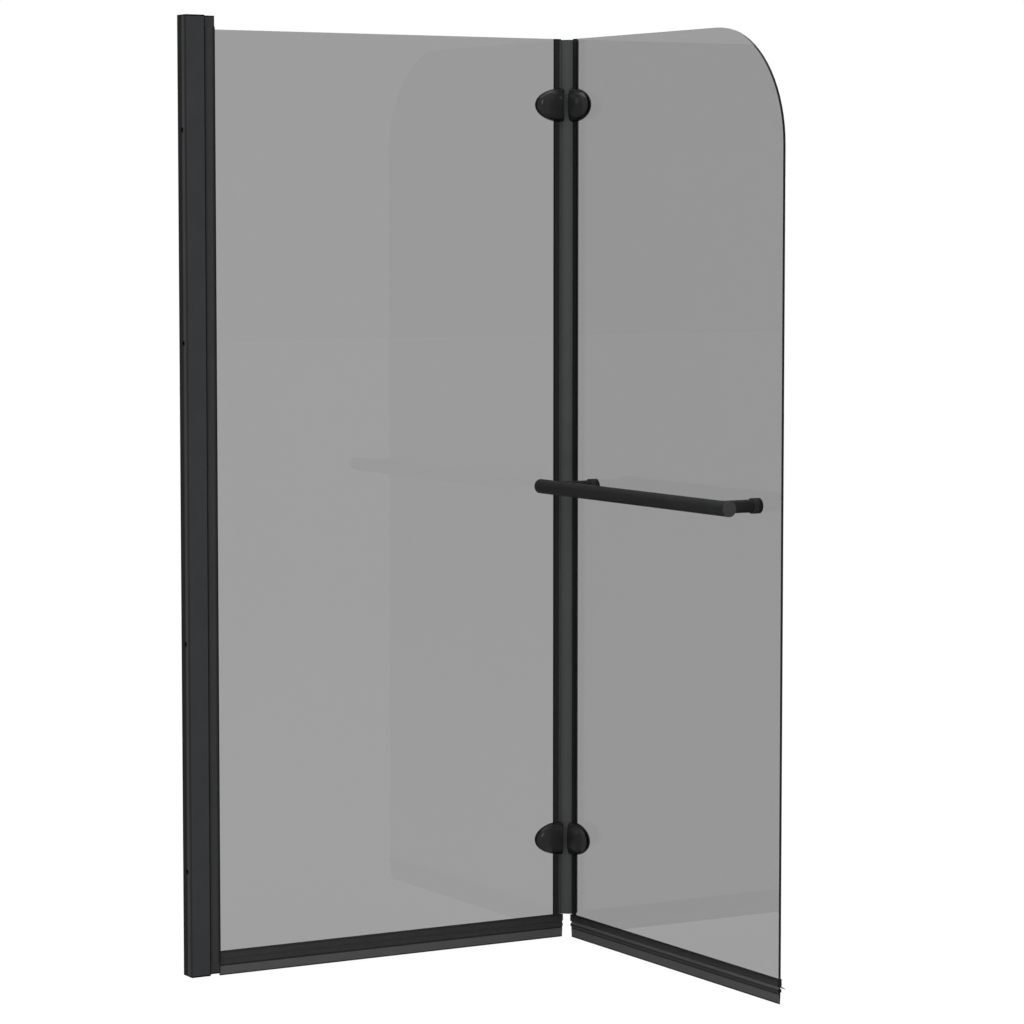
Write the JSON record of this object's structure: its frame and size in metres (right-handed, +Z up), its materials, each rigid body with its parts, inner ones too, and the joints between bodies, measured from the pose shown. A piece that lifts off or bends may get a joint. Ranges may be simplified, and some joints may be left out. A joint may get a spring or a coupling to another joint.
{
  "type": "shower screen",
  "caption": "Framed bath screen: a tinted glass panel that swings on a black wall profile and a second one that folds on oval hinges, with bottom seals and a towel bar.",
  "frame": {"origin": "on the wall face of the channel, in the middle plane of the wall panel's glass, at the channel's foot", "axes": "+X from the wall along the wall panel, +Y to the bath side, +Z up; at rest the folding panel points along -Y, into the bathroom"},
  "size_m": [0.667, 0.5975, 1.404],
  "materials": {
    "black_powder_coat": "satin black powder coat on aluminium",
    "tinted_glass": "polished, tinted grey through its thickness",
    "gloss_black_plastic": "glossy black",
    "matt_black_plastic": "satin black",
    "soft_grey_vinyl": "matt dark grey",
    "black_rubber": "matt black",
    "steel": "bright stainless",
    "black_cast_metal": "black coating on cast zinc",
    "nylon": "black, slightly waxy"
  },
  "bodies": {
    "wall_side": {"wall_channel": "black_powder_coat", "sliding_profile": "black_powder_coat", "slide_screws": "steel", "bottom_end_block": "matt_black_plastic", "top_end_block": "matt_black_plastic", "bottom_pivot_pin": "steel", "top_pivot_pin": "steel", "bottom_pivot_washer": "nylon", "top_pivot_washer": "nylon"},
    "wall_panel": {"bulb_seal_lower": "soft_grey_vinyl", "bulb_seal_middle": "soft_grey_vinyl", "bulb_seal_upper": "soft_grey_vinyl", "glazing_gasket": "black_rubber", "lower_hinge_pin": "steel", "lower_hinge_wall_bath_cap": "gloss_black_plastic", "lower_hinge_wall_clamp_plate": "black_cast_metal", "lower_hinge_wall_leaf": "black_cast_metal", "lower_hinge_wall_room_cap": "gloss_black_plastic", "turning_profile": "black_powder_coat", "upper_hinge_pin": "steel", "upper_hinge_wall_bath_cap": "gloss_black_plastic", "upper_hinge_wall_clamp_plate": "black_cast_metal", "upper_hinge_wall_leaf": "black_cast_metal", "upper_hinge_wall_room_cap": "gloss_black_plastic", "wall_bottom_seal": "black_rubber", "wall_edge_clip_lower": "matt_black_plastic", "wall_edge_clip_middle": "matt_black_plastic", "wall_edge_clip_upper": "matt_black_plastic", "wall_glass": "tinted_glass", "wall_hinge_pads": "black_rubber", "wall_hinge_screws": "steel"},
    "folding_panel": {"bar_end_plugs": "black_powder_coat", "bar_rivet_nuts": "steel", "bar_studs": "steel", "folding_bottom_seal": "black_rubber", "folding_edge_clip_lower": "matt_black_plastic", "folding_edge_clip_middle": "matt_black_plastic", "folding_edge_clip_upper": "matt_black_plastic", "folding_glass": "tinted_glass", "folding_hinge_pads": "black_rubber", "folding_hinge_screws": "steel", "inner_bar_post": "black_powder_coat", "inner_post_collar": "black_powder_coat", "lower_hinge_folding_bath_cap": "gloss_black_plastic", "lower_hinge_folding_clamp_plate": "black_cast_metal", "lower_hinge_folding_leaf": "black_cast_metal", "lower_hinge_folding_room_cap": "gloss_black_plastic", "outer_bar_post": "black_powder_coat", "outer_post_collar": "black_powder_coat", "post_gaskets": "black_rubber", "post_screw_cups": "matt_black_plastic", "post_screws": "steel", "towel_bar": "black_powder_coat", "upper_hinge_folding_bath_cap": "gloss_black_plastic", "upper_hinge_folding_clamp_plate": "black_cast_metal", "upper_hinge_folding_leaf": "black_cast_metal", "upper_hinge_folding_room_cap": "gloss_black_plastic"}
  },
  "joints": [
    {"name": "wall_pivot", "type": "hinge", "parent": "wall_side", "child": "wall_panel", "pos_m": [0.0385, 0, 0], "axis": [0, 0, 1], "range_deg": [-85, 90]},
    {"name": "fold_hinge", "type": "hinge", "parent": "wall_panel", "child": "folding_panel", "pos_m": [0.651, 0, 0], "axis": [0, 0, 1], "range_deg": [-10, 190]}
  ]
}
